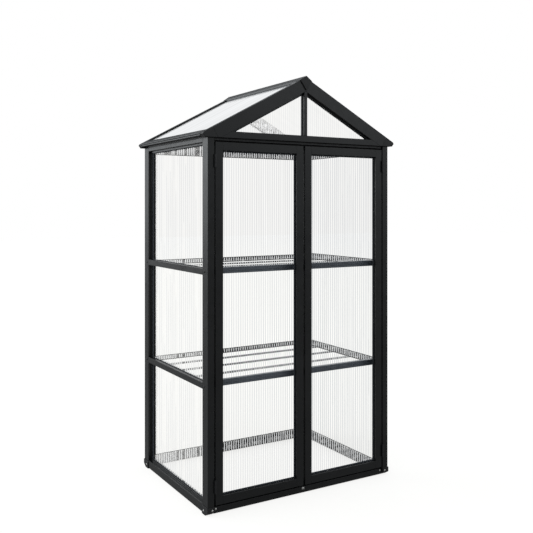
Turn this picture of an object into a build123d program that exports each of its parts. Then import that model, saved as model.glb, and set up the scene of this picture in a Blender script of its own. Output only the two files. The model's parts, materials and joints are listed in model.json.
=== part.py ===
"""Cabinet greenhouse: aluminium posts and rails, twin-wall panels, two shelves, a gabled roof, two doors.

Millimetres. X runs left to right seen from the front, Y from front to back, Z up.
The origin lies on the ground, at the middle of the footprint.
"""
import os
from math import cos, radians, sin, tan

from build123d import *

# Overall frame, measured over the posts
width = 760
depth = 560
wall_height = 1246

# Posts and their plastic feet
post_face = 24
post_side = 40
foot_height = 28
foot_flange = 2.5
foot_toe_length = 18
foot_toe_rise = 11

# Glazing panels and the stepped channel that holds their edges
panel_thickness = 4
panel_play = 0.2
panel_end_play = 0.3
channel_setback = 10
lip_thickness = 5
lip_height = 8

# Rails of the side and back walls
base_rail_lift = 3
base_rail_height = 28
top_rail_height = 14
mid_rail_height = 21
back_mid_rail_height = 14
mid_rail_groove = 5

# Shelves: the undersides of their rails, the front bar and the slats
lower_shelf = 412
upper_shelf = 791
shelf_bar_depth = 18
shelf_bar_gap = 2
shelf_bar_rib = 2
shelf_bar_rib_width = 3
slat_count = 3
slat_pitch = 115
slat_width = 10
slat_height = 6
slat_rise = 9.5

# Front opening: sill, lintel and the stop behind the doors
sill_lift = 4
sill_height = 21
front_setback = 6
lintel_height = 9
stop_gap = 5.5
stop_thickness = 3
stop_height = 14

# Doors
door_side_gap = 5
door_meeting_gap = 7
door_bottom_gap = 6.5
door_top_gap = 5
door_thickness = 22
stile_face = 28
door_rail_face = 28
door_panel_setback = 13
door_groove = 6

# Door hinges
hinge_length = 44
hinge_inset = 63
knuckle_radius = 4
knuckle_gap = 0.5
knuckle_stand_off = 0.2
pin_radius = 1.8
pin_play = 0.08
leaf_thickness = 1.5
leaf_width = 18
leaf_clearance = 0.4

# Roof
roof_pitch = 28
roof_overhang = 10
eave_overhang = 22
eave_depth = 26
rafter_face = 44
rafter_thickness = 24
gable_lip_height = 6
tie_height = 21
tie_groove = 5
mullion_face = 12
mullion_groove = 3
roof_lip = 4
roof_channel_depth = 8

# Eave rails and their end caps
eave_nose = 3
eave_groove_height = 2.5
eave_groove_depth = 4
eave_skirt = 3.5
eave_lip_run = 24
eave_channel_run = 14
eave_cap_run = 37
eave_cap_nose_run = 3
eave_cap_nose_drop = 6
eave_cap_bottom_run = 8

# Ridge profile and its end plates
ridge_crest = 5
ridge_flange_run = 26
ridge_flange_edge = 2
ridge_spine = 3
ridge_shelf_run = 18
ridge_keel = 46
ridge_plate_thickness = 4.5
ridge_plate_run = 24
ridge_plate_drop = 13

# Places worked out from the sizes above
half_width = width / 2
half_depth = depth / 2
inner_x = half_width - post_face
inner_y = half_depth - post_side
slot_out = channel_setback + lip_thickness
slot_in = slot_out + panel_thickness + 2 * panel_play
lip_spans = ((channel_setback, slot_out), (slot_in, post_face))
slot_span = (slot_out, slot_in)
panel_span = (slot_out + panel_play, slot_out + panel_play + panel_thickness)

base_rail_top = base_rail_lift + base_rail_height
top_rail_bottom = wall_height - top_rail_height
shelf_heights = (lower_shelf, upper_shelf)

sill_top = sill_lift + sill_height
lintel_bottom = wall_height - lintel_height
door_front = -half_depth
door_back = door_front + door_thickness
stop_front = door_back + stop_gap
stop_back = stop_front + stop_thickness
door_bottom = sill_top + door_bottom_gap
door_top = lintel_bottom - door_top_gap
door_outer = -inner_x + door_side_gap
door_inner = -door_meeting_gap / 2
hinge_x = -inner_x + door_side_gap / 2
hinge_y = door_front - knuckle_radius - knuckle_stand_off
hinge_heights = (door_bottom + hinge_inset, door_top - hinge_inset)

pitch = radians(roof_pitch)
roof_front = -half_depth - roof_overhang
gable_back = roof_front + rafter_thickness
eave_x = half_width + eave_overhang
ridge_height = wall_height + eave_depth + half_width * tan(pitch)
tie_top = wall_height + tie_height
roof_slot = (roof_lip, roof_lip + panel_thickness + 2 * panel_play)
roof_sheet = (roof_lip + panel_play, roof_lip + panel_play + panel_thickness)


def block(x, y, z):
    """Box between a low and a high place on each axis."""
    spans = (x, y, z)
    sizes = [high - low for low, high in spans]
    middles = [(low + high) / 2 for low, high in spans]
    return Pos(*middles) * Box(*sizes)


def run_back(outline, y):
    """Outline of (x, z) points in the front view, run from one depth to another."""
    front, back = y
    ring = Wire.make_polygon([(px, front, pz) for px, pz in outline])
    return Part(Solid.extrude(Face(ring), Vector(0, back - front, 0)).wrapped)


def run_across(outline, x):
    """Outline of (y, z) points in the side view, run from one side to the other."""
    left, right = x
    ring = Wire.make_polygon([(left, py, pz) for py, pz in outline])
    return Part(Solid.extrude(Face(ring), Vector(right - left, 0, 0)).wrapped)


def to_right(piece):
    """The same piece on the other side of the greenhouse."""
    return mirror(piece, about=Plane.YZ)


def to_rear(piece):
    """The same piece at the other end of the greenhouse."""
    return mirror(piece, about=Plane.XZ)


def from_left(span):
    """Distances in from the left wall's outer face, as places on X."""
    return tuple(-half_width + distance for distance in span)


def from_back(span):
    """Distances in from the back wall's outer face, as places on Y."""
    return tuple(sorted(half_depth - distance for distance in span))


def bays(rail_height):
    """Clear heights between the base rail, the two shelf rails and the top rail."""
    lows = [base_rail_top] + [height + rail_height for height in shelf_heights]
    highs = list(shelf_heights) + [top_rail_bottom]
    return list(zip(lows, highs))


def lip_bays(rail_height):
    """Heights of the lips on a post, which stop at the lips of the rails."""
    spans = bays(rail_height)
    spans[0] = (spans[0][0] + lip_height, spans[0][1])
    spans[-1] = (spans[-1][0], spans[-1][1] - lip_height)
    return spans


def sheet_bays(rail_height):
    """Heights of the panels of a wall, with their edges in the channels."""
    seat = mid_rail_groove - panel_end_play
    spans = [(low - seat, high + seat) for low, high in bays(rail_height)]
    spans[0] = (base_rail_top + panel_end_play, spans[0][1])
    spans[-1] = (spans[-1][0], top_rail_bottom - panel_end_play)
    return spans


def front_left_post():
    """Post with the channel for the left wall's panels on its rear face."""
    post = block((-half_width, -inner_x), (-half_depth, -inner_y), (foot_height, wall_height))
    for low, high in lip_bays(mid_rail_height):
        for span in lip_spans:
            post += block(from_left(span), (-inner_y, -inner_y + lip_height), (low, high))
    return post


def back_left_post():
    """Post with channels for the left wall's and the back wall's panels."""
    post = to_rear(front_left_post())
    for low, high in lip_bays(back_mid_rail_height):
        for span in lip_spans:
            post += block((-inner_x, -inner_x + lip_height), from_back(span), (low, high))
    return post


def feet():
    """Four shoes under the posts, each with a sloping toe."""
    front = -half_depth - foot_flange
    outline = [
        (front, foot_toe_rise),
        (front, foot_height),
        (-inner_y, foot_height),
        (-inner_y, 0),
        (front + foot_toe_length, 0),
    ]
    shoe = run_across(outline, (-half_width - foot_flange, -inner_x))
    pair = [shoe, to_rear(shoe)]
    return pair + [to_right(foot) for foot in pair]


def left_rail(z, lips_from, lips_to):
    """Side rail between the posts, with its channel lips between two heights."""
    y = (-inner_y, inner_y)
    rail = block((-half_width, -inner_x), y, z)
    for span in lip_spans:
        rail += block(from_left(span), y, (lips_from, lips_to))
    return rail


def back_rail(z, lips_from, lips_to):
    """Back rail between the posts, with its channel lips between two heights."""
    x = (-inner_x, inner_x)
    rail = block(x, from_back((0, post_face)), z)
    for span in lip_spans:
        rail += block(x, from_back(span), (lips_from, lips_to))
    return rail


def base_rail(make):
    """Bottom rail of a wall, with lips standing up."""
    return make((base_rail_lift, base_rail_top), base_rail_top, base_rail_top + lip_height)


def top_rail(make):
    """Top rail of a wall, with lips hanging down."""
    return make((top_rail_bottom, wall_height), top_rail_bottom - lip_height, top_rail_bottom)


def left_mid_rails():
    """Rails at the shelves' heights, grooved above and below for the panels."""
    rails = []
    for low in shelf_heights:
        high = low + mid_rail_height
        rail = block((-half_width, -inner_x), (-inner_y, inner_y), (low, high))
        for groove in ((low, low + mid_rail_groove), (high - mid_rail_groove, high)):
            rail -= block(from_left(slot_span), (-inner_y, inner_y), groove)
        rails.append(rail)
    return rails


def back_mid_rails():
    """Thinner rails across the back wall, behind the shelves."""
    rails = []
    for low in shelf_heights:
        high = low + back_mid_rail_height
        rail = block((-inner_x, inner_x), from_back((0, post_face)), (low, high))
        for groove in ((low, low + mid_rail_groove), (high - mid_rail_groove, high)):
            rail -= block((-inner_x, inner_x), from_back(slot_span), groove)
        rails.append(rail)
    return rails


def left_panels():
    """Three sheets of the left wall, one to a bay."""
    y = (-inner_y + panel_end_play, inner_y - panel_end_play)
    return [block(from_left(panel_span), y, z) for z in sheet_bays(mid_rail_height)]


def back_panels():
    """Three sheets of the back wall, one to a bay."""
    x = (-inner_x + panel_end_play, inner_x - panel_end_play)
    return [block(x, from_back(panel_span), z) for z in sheet_bays(back_mid_rail_height)]


def shelf(low):
    """Front bar with a proud rib, and the slats behind it, all carried by the side rails."""
    x = (-inner_x, inner_x)
    front = -inner_y + shelf_bar_gap
    rib_middle = low + mid_rail_height / 2
    rib = (rib_middle - shelf_bar_rib_width / 2, rib_middle + shelf_bar_rib_width / 2)
    bar = block(x, (front + shelf_bar_rib, front + shelf_bar_depth), (low, low + mid_rail_height))
    bar += block(x, (front, front + shelf_bar_rib), rib)
    pieces = [bar]
    bottom = low + slat_rise
    for index in range(slat_count):
        middle = (index - (slat_count - 1) / 2) * slat_pitch
        y = (middle - slat_width / 2, middle + slat_width / 2)
        pieces.append(block(x, y, (bottom, bottom + slat_height)))
    return pieces


def front_sill():
    """Low rail under the doors, with a stop standing up behind them."""
    x = (-inner_x, inner_x)
    sill = block(x, (-half_depth + front_setback, stop_back), (sill_lift, sill_top))
    return sill + block(x, (stop_front, stop_back), (sill_top, sill_top + stop_height))


def front_lintel():
    """Rail over the doors, with a stop hanging down behind them."""
    x = (-inner_x, inner_x)
    lintel = block(x, (-half_depth + front_setback, stop_back), (lintel_bottom, wall_height))
    return lintel + block(x, (stop_front, stop_back), (lintel_bottom - stop_height, lintel_bottom))


def door_pocket():
    """Space that the left door's frame leaves for its panel."""
    x = (door_outer + stile_face - door_groove, door_inner - stile_face + door_groove)
    front = door_front + door_panel_setback
    y = (front, front + panel_thickness + 2 * panel_play)
    z = (door_bottom + door_rail_face - door_groove, door_top - door_rail_face + door_groove)
    return x, y, z


def left_door_stiles():
    """Uprights of the left door, grooved for its panel."""
    y = (door_front, door_back)
    z = (door_bottom, door_top)
    spans = ((door_outer, door_outer + stile_face), (door_inner - stile_face, door_inner))
    return [block(x, y, z) - block(*door_pocket()) for x in spans]


def left_door_rails():
    """Top and bottom rails of the left door, between its stiles."""
    x = (door_outer + stile_face, door_inner - stile_face)
    y = (door_front, door_back)
    spans = ((door_bottom, door_bottom + door_rail_face), (door_top - door_rail_face, door_top))
    return [block(x, y, z) - block(*door_pocket()) for z in spans]


def left_door_panel():
    """Sheet of the left door, with a little play in its grooves."""
    x, y, z = door_pocket()
    plays = (panel_end_play, panel_play, panel_end_play)
    return block(*[(low + play, high - play) for (low, high), play in zip((x, y, z), plays)])


def knuckle(radius, low, high):
    """Round barrel on the left door's hinge axis."""
    length = high - low
    return Pos(hinge_x, hinge_y, low + length / 2) * Cylinder(radius, length)


def hinge_leaf(x, middle, knuckles):
    """Leaf in the gap beside a post or stile, with tongues out to its knuckles."""
    root = door_front + leaf_clearance
    half = hinge_length / 2
    leaf = block(x, (root, root + leaf_width), (middle - half, middle + half))
    for low, high in knuckles:
        leaf += block(x, (hinge_y, root), (low, high))
        leaf += knuckle(knuckle_radius, low, high)
    return leaf


def left_hinges(fixed):
    """Halves of the left door's two hinges: the post's halves carry the pins."""
    halves = []
    for middle in hinge_heights:
        low = middle - hinge_length / 2
        high = middle + hinge_length / 2
        third = hinge_length / 3
        if fixed:
            x = (-inner_x, -inner_x + leaf_thickness)
            half = hinge_leaf(x, middle, ((low, low + third), (high - third, high)))
            half += knuckle(pin_radius, low, high)
        else:
            x = (door_outer - leaf_thickness, door_outer)
            half = hinge_leaf(x, middle, ((low + third + knuckle_gap, high - third - knuckle_gap),))
            half -= knuckle(pin_radius + pin_play, low, high)
        halves.append(half)
    return halves


def slope(x, drop):
    """Point of the right roof slope at a place on X, a drop square to the slope below its top."""
    return x, ridge_height - x * tan(pitch) - drop / cos(pitch)


def slope_run(drop, z):
    """Place on X where a line of the right roof slope, below its top, is at a height."""
    return (ridge_height - drop / cos(pitch) - z) / tan(pitch)


def eave_joint():
    """Ends of the joint between rafter and eave cap: on the roof's top, and on the wall's top."""
    x, z = slope(eave_x - eave_cap_run, 0)
    return (x, z), (x - (z - wall_height) * tan(pitch), wall_height)


def roof_pocket(y):
    """Space for the edge of the right roof panel, between two depths."""
    x = (ridge_spine, eave_x - eave_channel_run + panel_end_play)
    outline = [slope(x[0], roof_slot[0]), slope(x[1], roof_slot[0])]
    outline += [slope(x[1], roof_slot[1]), slope(x[0], roof_slot[1])]
    return run_back(outline, y)


def front_right_rafter():
    """Sloping gable member, with lips for the gable panel and a groove for the roof panel."""
    joint_top, joint_bottom = eave_joint()
    foot = (slope_run(rafter_face, wall_height), wall_height)
    outline = [slope(0, 0), joint_top, joint_bottom, foot, slope(0, rafter_face)]
    rafter = run_back(outline, (roof_front, gable_back))
    toe = rafter_face + gable_lip_height
    mullion_side = mullion_face / 2
    lip = [
        slope(mullion_side, rafter_face),
        (slope_run(rafter_face, tie_top), tie_top),
        (slope_run(toe, tie_top), tie_top),
        slope(mullion_side, toe),
    ]
    for low, high in lip_spans:
        rafter += run_back(lip, (roof_front + low, roof_front + high))
    return rafter - roof_pocket((gable_back - roof_channel_depth, gable_back))


def front_right_eave_cap():
    """Plastic end of the eave rail, which carries the rafter's face on to a blunt nose."""
    joint_top, joint_bottom = eave_joint()
    brow = slope(eave_x - eave_cap_nose_run, 0)
    nose = (eave_x, brow[1] - eave_cap_nose_drop)
    chin = (eave_x - eave_cap_bottom_run, wall_height)
    cap = run_back([joint_top, brow, nose, chin, joint_bottom], (roof_front, gable_back))
    return cap - roof_pocket((gable_back - roof_channel_depth, gable_back))


def front_tie_beam():
    """Bottom member of the gable, cut to the rafters and grooved for the gable panels."""
    bottom = slope_run(rafter_face, wall_height)
    top = slope_run(rafter_face, tie_top)
    outline = [(-bottom, wall_height), (bottom, wall_height), (top, tie_top), (-top, tie_top)]
    beam = run_back(outline, (roof_front, gable_back))
    groove = tuple(roof_front + distance for distance in slot_span)
    return beam - block((-bottom, bottom), groove, (tie_top - tie_groove, tie_top))


def front_mullion():
    """Upright in the middle of the gable, grooved on both sides for the panels."""
    half = mullion_face / 2
    shoulder = slope(half, rafter_face)
    outline = [(-half, tie_top), (half, tie_top), shoulder, slope(0, rafter_face), (-half, shoulder[1])]
    mullion = run_back(outline, (roof_front, gable_back))
    groove = tuple(roof_front + distance for distance in slot_span)
    for x in ((-half, mullion_groove - half), (half - mullion_groove, half)):
        mullion -= block(x, groove, (tie_top, ridge_height))
    return mullion


def front_right_gable_panel():
    """Three-cornered sheet between mullion, tie beam and rafter."""
    side = mullion_face / 2 - mullion_groove + panel_end_play
    low = tie_top - tie_groove + panel_end_play
    drop = rafter_face + panel_end_play
    outline = [(side, low), (slope_run(drop, low), low), slope(side, drop)]
    return run_back(outline, tuple(roof_front + distance for distance in panel_span))


def right_eave_rail():
    """Eave profile: a sloping lip over the panel, a grooved nose and a seat on the wall."""
    tip_z = slope(eave_x, 0)[1]
    nose_z = tip_z - eave_nose
    groove_z = nose_z - eave_groove_height
    soffit_z = groove_z - eave_skirt
    channel_x = eave_x - eave_channel_run + panel_end_play
    outline = [
        slope(eave_x - eave_lip_run, 0),
        (eave_x, tip_z),
        (eave_x, nose_z),
        (eave_x - eave_groove_depth, nose_z),
        (eave_x - eave_groove_depth, groove_z),
        (eave_x, groove_z),
        (eave_x, soffit_z),
        (half_width, soffit_z),
        (half_width, wall_height),
        (inner_x, wall_height),
        slope(inner_x, roof_slot[1]),
        slope(channel_x, roof_slot[1]),
        slope(channel_x, roof_slot[0]),
        slope(eave_x - eave_lip_run, roof_slot[0]),
    ]
    return run_back(outline, (gable_back, -gable_back))


def ridge_cap():
    """Ridge profile: a peaked cap over the rafters, with channels and a keel between them."""
    edge = slope(ridge_flange_run, 0)
    brow = (ridge_flange_run, edge[1] + ridge_flange_edge)
    right = [brow, edge]
    left = [(-x, z) for x, z in reversed(right)]
    crown = [(0, ridge_height + ridge_crest)] + right + [(0, ridge_height)] + left
    cap = run_back(crown, (roof_front, -roof_front))
    right = [
        edge,
        slope(ridge_flange_run, roof_slot[0]),
        slope(ridge_spine, roof_slot[0]),
        slope(ridge_spine, roof_slot[1]),
        slope(ridge_shelf_run, roof_slot[1]),
    ]
    left = [(-x, z) for x, z in reversed(right)]
    keel = [(0, ridge_height)] + right + [(0, ridge_height - ridge_keel)] + left
    return cap + run_back(keel, (gable_back, -gable_back))


def front_ridge_plate():
    """Kite-shaped plate over the rafters' joint and the end of the ridge cap."""
    shoulder_z = ridge_height - ridge_plate_drop
    outline = [
        (0, ridge_height + ridge_crest),
        (ridge_plate_run, shoulder_z),
        (0, ridge_height - ridge_keel),
        (-ridge_plate_run, shoulder_z),
    ]
    return run_back(outline, (roof_front - ridge_plate_thickness, roof_front))


def right_roof_panel():
    """Sheet of the right roof slope, its edges in the ridge, eave and rafters."""
    x = (ridge_spine + panel_end_play, eave_x - eave_channel_run)
    outline = [slope(x[0], roof_sheet[0]), slope(x[1], roof_sheet[0])]
    outline += [slope(x[1], roof_sheet[1]), slope(x[0], roof_sheet[1])]
    reach = -gable_back + roof_channel_depth - panel_end_play
    return run_back(outline, (-reach, reach))


def four_ways(piece):
    """A front right piece and its mirror images at the other corners."""
    pair = [piece, to_rear(piece)]
    return pair + [to_right(each) for each in pair]


def nodes():
    """Every piece of the greenhouse, by name."""
    left_lower = base_rail(left_rail)
    left_upper = top_rail(left_rail)
    rafter = front_right_rafter()
    gable_pair = [front_right_gable_panel(), to_right(front_right_gable_panel())]
    plate = front_ridge_plate()
    pieces = {
        "front_left_post": [front_left_post()],
        "front_right_post": [to_right(front_left_post())],
        "back_left_post": [back_left_post()],
        "back_right_post": [to_right(back_left_post())],
        "feet": feet(),
        "left_base_rail": [left_lower],
        "right_base_rail": [to_right(left_lower)],
        "back_base_rail": [base_rail(back_rail)],
        "front_sill": [front_sill()],
        "left_top_rail": [left_upper],
        "right_top_rail": [to_right(left_upper)],
        "back_top_rail": [top_rail(back_rail)],
        "front_lintel": [front_lintel()],
        "left_mid_rails": left_mid_rails(),
        "right_mid_rails": [to_right(rail) for rail in left_mid_rails()],
        "back_mid_rails": back_mid_rails(),
        "left_wall_panels": left_panels(),
        "right_wall_panels": [to_right(panel) for panel in left_panels()],
        "back_wall_panels": back_panels(),
        "lower_shelf": shelf(lower_shelf),
        "upper_shelf": shelf(upper_shelf),
        "front_tie_beam": [front_tie_beam()],
        "rear_tie_beam": [to_rear(front_tie_beam())],
        "gable_mullions": [front_mullion(), to_rear(front_mullion())],
        "front_gable_panels": gable_pair,
        "rear_gable_panels": [to_rear(panel) for panel in gable_pair],
        "front_right_rafter": [rafter],
        "front_left_rafter": [to_right(rafter)],
        "rear_right_rafter": [to_rear(rafter)],
        "rear_left_rafter": [to_rear(to_right(rafter))],
        "right_eave_rail": [right_eave_rail()],
        "left_eave_rail": [to_right(right_eave_rail())],
        "eave_end_caps": four_ways(front_right_eave_cap()),
        "ridge_cap": [ridge_cap()],
        "ridge_end_plates": [plate, to_rear(plate)],
        "right_roof_panel": [right_roof_panel()],
        "left_roof_panel": [to_right(right_roof_panel())],
        "post_hinge_leaves": left_hinges(True) + [to_right(half) for half in left_hinges(True)],
    }
    door = {
        "stiles": left_door_stiles(),
        "rails": left_door_rails(),
        "panel": [left_door_panel()],
        "hinge_leaves": left_hinges(False),
    }
    for name, solids in door.items():
        pieces["left_door_" + name] = solids
        pieces["right_door_" + name] = [to_right(solid) for solid in solids]
    return pieces


def main():
    """Write one STEP file for each named piece."""
    os.makedirs("parts", exist_ok=True)
    for name, solids in nodes().items():
        bodies = [solid for piece in solids for solid in piece.solids()]
        shape = bodies[0] if len(bodies) == 1 else Compound(children=bodies)
        export_step(shape, os.path.join("parts", name + ".step"))


main()
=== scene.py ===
"""Dresses the cabinet greenhouse: coated frame, moulded ends, ribbed sheets, fixings and a white studio."""
import json
import math

import bmesh
import bpy
from bpy.props import FloatProperty, FloatVectorProperty, IntProperty, PointerProperty
from mathutils import Matrix, Vector


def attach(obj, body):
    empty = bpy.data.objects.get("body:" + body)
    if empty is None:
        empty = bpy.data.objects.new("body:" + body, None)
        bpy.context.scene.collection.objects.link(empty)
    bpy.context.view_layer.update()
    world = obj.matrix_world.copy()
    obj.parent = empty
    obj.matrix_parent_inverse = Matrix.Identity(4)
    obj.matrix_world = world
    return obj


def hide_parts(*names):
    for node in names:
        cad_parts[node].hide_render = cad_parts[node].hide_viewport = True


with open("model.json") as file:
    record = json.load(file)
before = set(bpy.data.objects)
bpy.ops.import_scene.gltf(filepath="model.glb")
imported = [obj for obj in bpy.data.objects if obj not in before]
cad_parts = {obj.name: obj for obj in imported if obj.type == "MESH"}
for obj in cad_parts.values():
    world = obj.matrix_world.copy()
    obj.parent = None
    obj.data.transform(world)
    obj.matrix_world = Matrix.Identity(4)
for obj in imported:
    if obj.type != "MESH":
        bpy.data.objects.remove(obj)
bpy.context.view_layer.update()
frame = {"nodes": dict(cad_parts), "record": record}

bl_info = {
    "name": "Cabinet greenhouse finish",
    "version": (1, 0, 0),
    "blender": (4, 5, 0),
    "location": "3D View > Sidebar > Greenhouse",
    "description": "Coats the frame, glazes it with twin-wall sheet, fits the fixings and sets the studio",
    "category": "Object",
}

RECORD = frame["record"]
SLOT_OF = {row["node"]: row["material_slot"] for row in RECORD["subparts"]}
BODY_OF = {node: body for body, nodes in RECORD["behaviour"]["bodies"].items() for node in nodes}
SHELVES = ("lower_shelf", "upper_shelf")
SIDE_PANELS = ("left_wall_panels", "right_wall_panels")
# Words in the names of the pieces that ribs and lines show. Over the others they show painted light: the white
# behind.
UPRIGHTS = ("post", "stiles", "mullion", "feet", "hinge")
UP = Vector((0.0, 0.0, 1.0))

# Corners closer than the weld distance are one, and faces that bend less than the flat angle are one. Edges
# that bend more than the sharp angle are rounded. A face looks along an axis where its normal has FACING of it.
WELD_DISTANCE = 0.00001
FLAT_ANGLE = math.radians(1.0)
SHARP_ANGLE = math.radians(35.0)
FACING = 0.9
SMALL_EDGE_STEPS = 2
BOX_DIGITS = 4

# Coats: waves per metre of the patches of colour, the smears of gloss and the haze on steel, and what they do.
PATCH_WAVES = 9.0
PATCH_SHADES = (0.82, 1.2)
SMEAR_WAVES = 38.0
SMEAR_GLOSS = (-0.05, 0.06)
HAZE_WAVES = 700.0
HAZE_SHADE = 0.8
HAZE_GLOSS = (0.28, 0.42)
PLAIN_DETAIL, SMEAR_DETAIL, FINE_DETAIL = 3.0, 5.0, 2.0
NOISE_MIDDLE = (0.3, 0.7)
COAT_SPECULAR = 0.3
GRAIN_STRENGTH = 0.12
# Fine grain of each coat: waves per metre, and depth.
POWDER_GRAIN = (1100.0, 0.00006)
MOULDED_GRAIN = (1900.0, 0.0001)
STEEL_GRAIN = (1500.0, 0.00005)
RUBBER_GRAIN = (2300.0, 0.00008)

# Sheets: the UV map that follows the flutes, how fast a streak changes along them compared with across, the
# span of noise that lines are picked from, the half width of a line's edge, and how ribs and lines bend light.
FLUTE_MAP = "flutes"
STREAK_SHARE = 0.015
RIB_SPAN = 0.4
LINE_EDGE = 0.005
RIB_IOR = 1.01
SHEET_ROWS = 3
WEB_ROW = 1
RIB_INDEX, OUTSIDE_INDEX = 1, 2

# Screw heads: a grid of cells, where the cross is cut as shares of the half width, and how the top curves.
HEAD_CELLS = 5
CROSS_WIDTH = 0.1
CROSS_REACH = 0.5
HEAD_DROOP = 0.5
HEAD_CURVE = 3
HEAD_SMOOTH = 0.3
# The front of the sill is no higher than this.
SILL_TOP_LIMIT = 0.025

# Soft lights and a dark screen: the way to each, and the cosines off that way where it starts and is full.
SIDE_LIGHT = (Vector((-0.72, 0.62, 0.30)), 0.86, 0.94)
RIM_LIGHT = (Vector((0.58, 0.80, 0.20)), 0.95, 0.99)
GABLE_LIGHT = (Vector((0.66, -0.70, 0.27)), 0.94, 0.985)
FLAG = (Vector((0.33, 0.84, 0.42)), 0.93, 0.97)
# Parts of a direction over which the studio brightens, towards the back wall and upwards.
WALL_SPAN = (-0.9, -0.1)
CEILING_SPAN = (-0.05, 0.22)
WHITE = (1.0, 1.0, 1.0)
FLOOR_ROUGHNESS = 0.9
FLOOR_NEAR_SHARE = 1.0 / 3.0
MOST_BOUNCES = 32
CLEAR_BOUNCES = 64
LEAST_BOUNCES = 8


def colour_prop(name, description, default):
    """A colour that a user may change."""
    return FloatVectorProperty(name=name, description=description, default=default,
                               subtype="COLOR", size=3, min=0.0, max=1.0)


def length_prop(name, description, default):
    """A length that a user may change."""
    return FloatProperty(name=name, description=description, default=default,
                         min=0.0, unit="LENGTH", subtype="DISTANCE", precision=5)


def share_prop(name, description, default):
    """A share from nothing to all that a user may change."""
    return FloatProperty(name=name, description=description, default=default,
                         min=0.0, max=1.0, subtype="FACTOR")


def amount_prop(name, description, default, lowest=0.0):
    """A plain number that a user may change."""
    return FloatProperty(name=name, description=description, default=default, min=lowest)


class GreenhouseCoat(bpy.types.PropertyGroup):
    """Finish of the metal sections, moulded ends and hinges."""

    metal_colour: colour_prop("Coat colour", "Powder coat of the metal sections", (0.0080, 0.0084, 0.0088))
    metal_roughness: share_prop("Coat roughness", "Middle roughness of the powder coat", 0.30)
    # Shelf coats: lighter and bluer than the frame, partly the shelves' own grey and partly a painted veil of
    # the light that the sheets scatter over them.
    bar_colour_and_painted_veil: colour_prop("Bar colour", "Coat of the shelves' front bars", (0.075, 0.085, 0.100))
    slat_colour_and_painted_veil: colour_prop("Slat colour", "Coat of the shelves' slats", (0.018, 0.020, 0.024))
    plastic_colour: colour_prop("Plastic colour", "Moulded feet, eave ends and ridge ends",
                                (0.0105, 0.0105, 0.011))
    plastic_roughness: share_prop("Plastic roughness", "Middle roughness of the moulded ends", 0.5)
    hinge_colour: colour_prop("Hinge colour", "Coated steel of the hinges", (0.011, 0.011, 0.012))
    hinge_roughness: share_prop("Hinge roughness", "Middle roughness of the coated steel", 0.4)
    section_edge: length_prop("Section edge radius", "Rounding along the metal sections", 0.0007)
    moulded_edge: length_prop("Moulded edge radius", "Rounding of the moulded ends", 0.0007)
    hinge_edge: length_prop("Hinge edge radius", "Rounding of the hinge leaves", 0.0003)
    edge_steps: IntProperty(name="Edge steps", description="Faces across a rounded edge", default=2, min=1)


class GreenhouseSheet(bpy.types.PropertyGroup):
    """Build of the ribbed twin-wall sheets."""

    flute_pitch: length_prop("Flute pitch", "Spacing of the ribs in the doors, gables and back", 0.00885)
    side_pitch: length_prop("Side flute pitch", "Spacing of the ribs in the side walls and the roof", 0.017)
    skin: length_prop("Skin", "Thickness of each of a sheet's two skins", 0.0005)
    web: length_prop("Web", "Thickness of a rib", 0.0006)
    sink: length_prop("Sink", "How far a skin sinks between two ribs", 0.00012)
    skin_steps: IntProperty(name="Skin steps", description="Faces across the skin of one flute",
                            default=4, min=2)
    thickness: length_prop("Sheet thickness", "Overall thickness of a sheet", 0.004)
    tint: colour_prop("Tint", "What one face of a sheet lets through", (0.9965, 0.9960, 0.9940))
    shine_colour: colour_prop("Shine colour", "Light that the outside of a sheet throws back",
                              (0.98, 0.98, 0.98))
    sheen_start: share_prop("Sheen start", "How glancing the look is where a sheet starts to shine", 0.20)
    sheen_full: share_prop("Sheen full", "How glancing the look is where a sheet shines in full", 1.0)
    sheen_power: amount_prop("Sheen power", "How fast the shine grows towards a glancing look", 2.5, 0.5)
    roof_shine_colour: colour_prop("Roof shine colour", "Light that the roof throws back", (0.90, 0.93, 0.96))
    roof_sheen_start: share_prop("Roof sheen start", "The same start on the roof", 0.0)
    roof_sheen_full: share_prop("Roof sheen full", "The same full shine on the roof", 0.78)
    roof_sheen_power: amount_prop("Roof sheen power", "The same growth on the roof", 1.6, 0.5)
    streaks: amount_prop("Streaks", "Streaks along the flutes, a metre", 110.0)
    streak_depth: share_prop("Streak depth", "How much darker the streaks are", 0.012)
    # Lines of painted light along the flutes: over dark rails they show the white behind, as light thrown by
    # the flutes.
    painted_light_lines: amount_prop("Drawn lines", "Fine lines along the flutes, a metre", 3200.0)
    door_lines: share_prop("Door lines", "How much of a door's sheet the fine lines take", 0.17)
    wall_lines: share_prop("Wall lines", "How much of a wall's sheets the fine lines take", 0.18)
    gable_lines: share_prop("Gable lines", "How much of a gable's sheets the fine lines take", 0.44)
    roof_bands: amount_prop("Roof bands", "Streaks in the roof's shine, a metre", 32.0)
    roof_streaks: share_prop("Roof streak depth", "How much darker the streaks in the roof's shine are", 0.45)
    # Through this tint a rib shows the white behind in place of the dark rails: painted light from the flutes.
    door_rib_colour: colour_prop("Door rib colour", "What a rib in a door lets through", (0.70, 0.72, 0.75))
    gable_rib_colour: colour_prop("Gable rib colour", "What a rib in a gable lets through",
                                  (0.85, 0.87, 0.89))
    wall_rib_colour: colour_prop("Wall rib colour", "What a rib in a side wall lets through",
                                 (0.86, 0.87, 0.88))
    wall_rib_share: share_prop("Wall rib share", "How many of the ribs in a side wall carry light", 0.6)


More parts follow.
